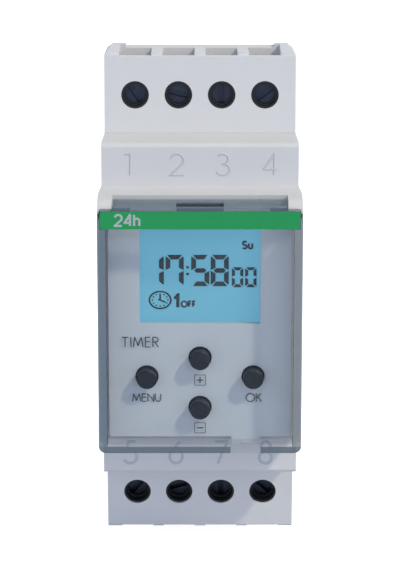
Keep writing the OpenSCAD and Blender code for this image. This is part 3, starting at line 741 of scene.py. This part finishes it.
def make_legends():
    """Words and signs printed beside the buttons."""

    def print_on(name, paths, stroke):
        draw(name, paths, low("front_panel").y, stroke, LEGEND_RISE, INK)

    menu_x, menu_z = button_place("menu_button")
    ok_x, ok_z = button_place("ok_button")
    menu = text_paths("MENU", menu_x - 0.08, menu_z - 4.52, 1.38, spacing=0.18, narrow=1.1, centred=True)
    ok = text_paths("OK", ok_x + 0.1, ok_z - 4.55, 1.46, spacing=0.18, narrow=1.05, centred=True)
    timer = text_paths("TIMER", low("front_panel").x + 2.3, -4.35, 1.76, spacing=0.24)
    print_on("legend_menu", menu, 0.16)
    print_on("legend_ok", ok, 0.16)
    print_on("legend_timer", timer, 0.17)
    straight = SIGN_HALF - SIGN_CORNER
    for name, down in SIGN_DOWN.items():
        x, z = button_place(name + "_button")
        z -= down
        frame_path = []
        for quarter, (sx, sz) in enumerate(((1, 1), (-1, 1), (-1, -1), (1, -1))):
            frame_path += arc(x + sx * straight, z + sz * straight, SIGN_CORNER, SIGN_CORNER,
                              90 * quarter, 90 * quarter + 90)
        frame_path.append(frame_path[0])
        print_on(f"legend_{name}_frame", [frame_path], 0.1)
        sign = [[(x - SIGN_ARM, z), (x + SIGN_ARM, z)]]
        if name == "plus":
            sign.append([(x, z - SIGN_ARM), (x, z + SIGN_ARM)])
        print_on(f"legend_{name}", sign, 0.2)


STEP_FACE = -49.0  # front of the two numbered steps of the front shell
UPPER_MIDDLES = (-12.45, -3.94, 4.02, 12.10)  # of the numerals, in x
LOWER_MIDDLES = (-12.28, -4.23, 3.70, 11.60)


def make_numerals():
    """Terminal numbers, raised on the two steps."""
    # their colours are painted shade, and for the lower row the painted shadow of the lid
    for figure, x in zip("1234", UPPER_MIDDLES):
        paths = text_paths(figure, x, 24.6, 3.8, centred=True)
        draw(f"numeral_{figure}", paths, STEP_FACE, 0.34, 0.11, RELIEF_PAINTED_SHADE)
    for figure, x in zip("5678", LOWER_MIDDLES):
        paths = text_paths(figure, x, -28.4, 4.1, narrow=0.9, centred=True)
        draw(f"numeral_{figure}", paths, STEP_FACE, 0.46, 0.12, RELIEF_PAINTED_LID_SHADOW)


def make_band_mark():
    """The 24-hour mark printed on the lid's band."""
    corner = low("color_band")
    paths = text_paths("24h", corner.x + 2.6, corner.z + 0.62, 1.95, spacing=0.24)
    draw("band_mark", paths, corner.y + 0.005, 0.42, 0.02, BAND_MARK, body="lid")


# ---------------------------------------------------------------- spring, floor

SPRING_WIRE = 0.2  # radius of the wire
SPRING_TURNS, TURN_STEPS = 7, 20
FLOOR_HALF, FLOOR_GAP = 3.0, 0.4  # metres to its edges; millimetres below the latch


def make_spring():
    """Coil spring of the rail latch."""
    bottom, top = low("latch_spring"), high("latch_spring")
    wire, turns = SPRING_WIRE, SPRING_TURNS
    radius = (top.x - bottom.x) / 2 - wire
    x, y = (top.x + bottom.x) / 2, (top.y + bottom.y) / 2
    rise = top.z - bottom.z - 2 * wire
    flat = 4 * wire / rise  # share of the rise that goes to the two end coils, which lie nearly flat
    route = []
    for k in range(turns * TURN_STEPS + 1):
        share = k / (turns * TURN_STEPS)
        climb = min(max((share * turns - 1) / (turns - 2), 0), 1)
        level = climb * (1 - flat) + flat * share
        a = 2 * math.pi * k / TURN_STEPS
        height = bottom.z + wire + rise * min(level, 1)
        route.append(Vector((x + radius * math.cos(a), y + radius * math.sin(a), height)))
    piece = add_piece("latch_spring_coil", tube_mesh("latch_spring_coil", [route], wire, sides=3),
                      FINISHES["spring_steel"], "case")
    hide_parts("latch_spring")
    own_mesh(piece)


def make_floor():
    """Plain table, pale grey to the object and as white as the studio to the camera."""
    height = (low("rail_latch").z - FLOOR_GAP) * MM
    corners = [(x * FLOOR_HALF, y * FLOOR_HALF, height) for x, y in ((-1, -1), (1, -1), (1, 1), (-1, 1))]
    mesh = bpy.data.meshes.new("floor")
    mesh.from_pydata(corners, [], [(0, 1, 2, 3)])
    floor = bpy.data.objects.new("floor", mesh)
    bpy.context.scene.collection.objects.link(floor)
    finish = Finish("floor", (0.53, 0.57, 0.65, 1), 0.95).mottle(0.01, 40)
    glow = finish.math("MULTIPLY", finish.node("LightPath").outputs["Is Camera Ray"], 0.9)
    finish.shader.inputs["Emission Color"].default_value = (1, 1, 1, 1)
    finish.tree.links.new(glow, finish.shader.inputs["Emission Strength"])
    mesh.materials.append(finish.material)


make_camera()
make_light()
make_world()
dress_nodes()
make_display()
make_legends()
make_numerals()
make_band_mark()
make_spring()
make_floor()
